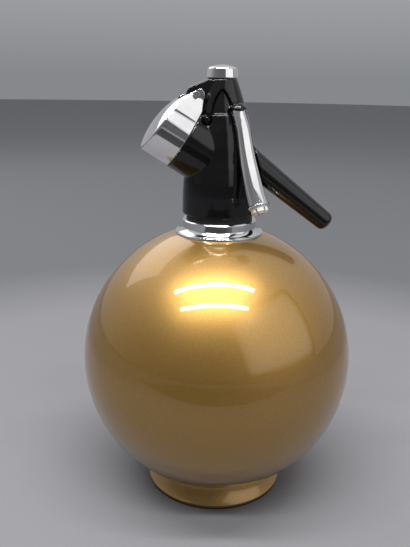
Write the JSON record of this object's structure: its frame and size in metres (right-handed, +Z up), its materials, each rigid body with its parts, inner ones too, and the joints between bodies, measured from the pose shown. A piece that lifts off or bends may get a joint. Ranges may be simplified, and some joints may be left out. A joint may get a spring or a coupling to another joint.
{
  "type": "soda siphon",
  "caption": "Round gold soda siphon on a flared foot, with a black lever head, a chrome spout and a hinged chrome cover over its gas charging port.",
  "frame": {"origin": "centre of the foot's underside, on the surface the siphon stands on", "axes": "+Z up along the bottle's axis; +X towards the side that the lever points to, which is 5 degrees from it; -Y towards the side that the spout leans to"},
  "size_m": [0.15, 0.15, 0.2363],
  "materials": {
    "gold_paint": "metallic gold paint under gloss lacquer",
    "black_moulding": "glossy black moulding",
    "chrome": "polished chrome plate",
    "white_plastic": "white plastic",
    "clear_plastic": "translucent plastic",
    "brass": "turned brass",
    "spring_steel": "bright steel",
    "black_rubber": "black rubber"
  },
  "bodies": {
    "bottle": {"bottle_upper_half": "gold_paint", "bottle_lower_half": "gold_paint", "bottle_neck": "brass", "bottle_foot_ring": "gold_paint", "bottle_foot_pad": "black_rubber", "neck_collar": "chrome", "neck_rubber_ring": "black_rubber"},
    "head": {"head_body": "black_moulding", "head_cowl": "black_moulding", "top_cap": "chrome", "head_thread_ring": "brass", "neck_gasket": "black_rubber", "valve_seat": "brass", "stem_packing_ring": "black_rubber", "valve_spring": "spring_steel", "dip_tube": "clear_plastic", "dip_tube_nut": "brass", "lever_pin": "spring_steel", "charger_socket": "brass", "charger_seal": "black_rubber", "piercing_pin": "spring_steel", "check_valve_retainer": "brass", "check_valve_spring": "spring_steel", "cover_hinge_pin": "spring_steel", "spout_tube": "chrome", "spout_nozzle": "white_plastic"},
    "lever": {"lever_handle": "black_moulding"},
    "valve": {"valve_stem": "brass", "valve_washer": "black_rubber"},
    "cover": {"charger_cover": "chrome"},
    "check_valve": {"check_valve_ball": "spring_steel"}
  },
  "joints": [
    {"name": "head_unscrew", "type": "hinge", "parent": "bottle", "child": "head", "pos_m": [0, 0, 0.17138], "axis": [0, 0, 1], "range_deg": [0, 900]},
    {"name": "lever_press", "type": "hinge", "parent": "head", "child": "lever", "pos_m": [0.01146, 0.001, 0.19131], "axis": [-0.0872, 0.9962, 0], "range_deg": [0, 7], "stiffness_Nm_per_rad": 0.68, "springref_deg": -25.21},
    {"name": "valve_lift", "type": "slide", "parent": "head", "child": "valve", "axis": [0, 0, 1], "range_m": [0, 0.0019], "stiffness_N_per_m": 1, "springref_m": 0.0513, "deforming": ["valve_spring"]},
    {"name": "cover_open", "type": "hinge", "parent": "head", "child": "cover", "pos_m": [-0.01407, -0.00173, 0.22105], "axis": [-0.1219, 0.9925, 0], "range_deg": [0, 100]},
    {"name": "check_valve_open", "type": "slide", "parent": "head", "child": "check_valve", "axis": [0, 0, -1], "range_m": [0, 0.0015], "stiffness_N_per_m": 300, "springref_m": -0.002, "deforming": ["check_valve_spring"]}
  ],
  "couplings": [
    {"joint": "valve_lift", "follows": "lever_press", "m_per_rad": 0.0151}
  ]
}
